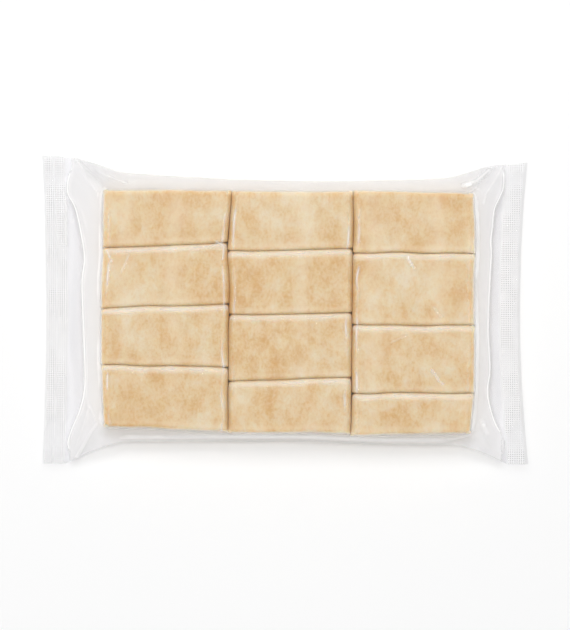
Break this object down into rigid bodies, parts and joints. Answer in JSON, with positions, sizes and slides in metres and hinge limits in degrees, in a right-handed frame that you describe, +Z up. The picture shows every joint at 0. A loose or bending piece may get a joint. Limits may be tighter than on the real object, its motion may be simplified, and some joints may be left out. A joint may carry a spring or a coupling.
{
  "type": "vacuum pack of smoked tofu",
  "caption": "Clear vacuum pack, lying flat, of uneven pale tan smoked tofu blocks in close rows, with thin film edges and flat crimped seals at both ends.",
  "frame": {"origin": "on the surface the pack lies on, under the middle of its outline", "axes": "+X along the pack from one end seal to the other, +Y across it towards the side with the straighter film edge, +Z up out of the shown face"},
  "size_m": [0.3, 0.1904, 0.0289],
  "materials": {
    "clear_film": "clear glossy pouch film, drawn tight over the tofu, with a fine cross-hatched crimp on the end seals",
    "smoked_tofu": "moist pressed bean curd, pale tan, mottled and finely pitted, browner along the edges"
  },
  "bodies": {
    "root": {"tofu_pack": "clear_film"}
  },
  "joints": []
}
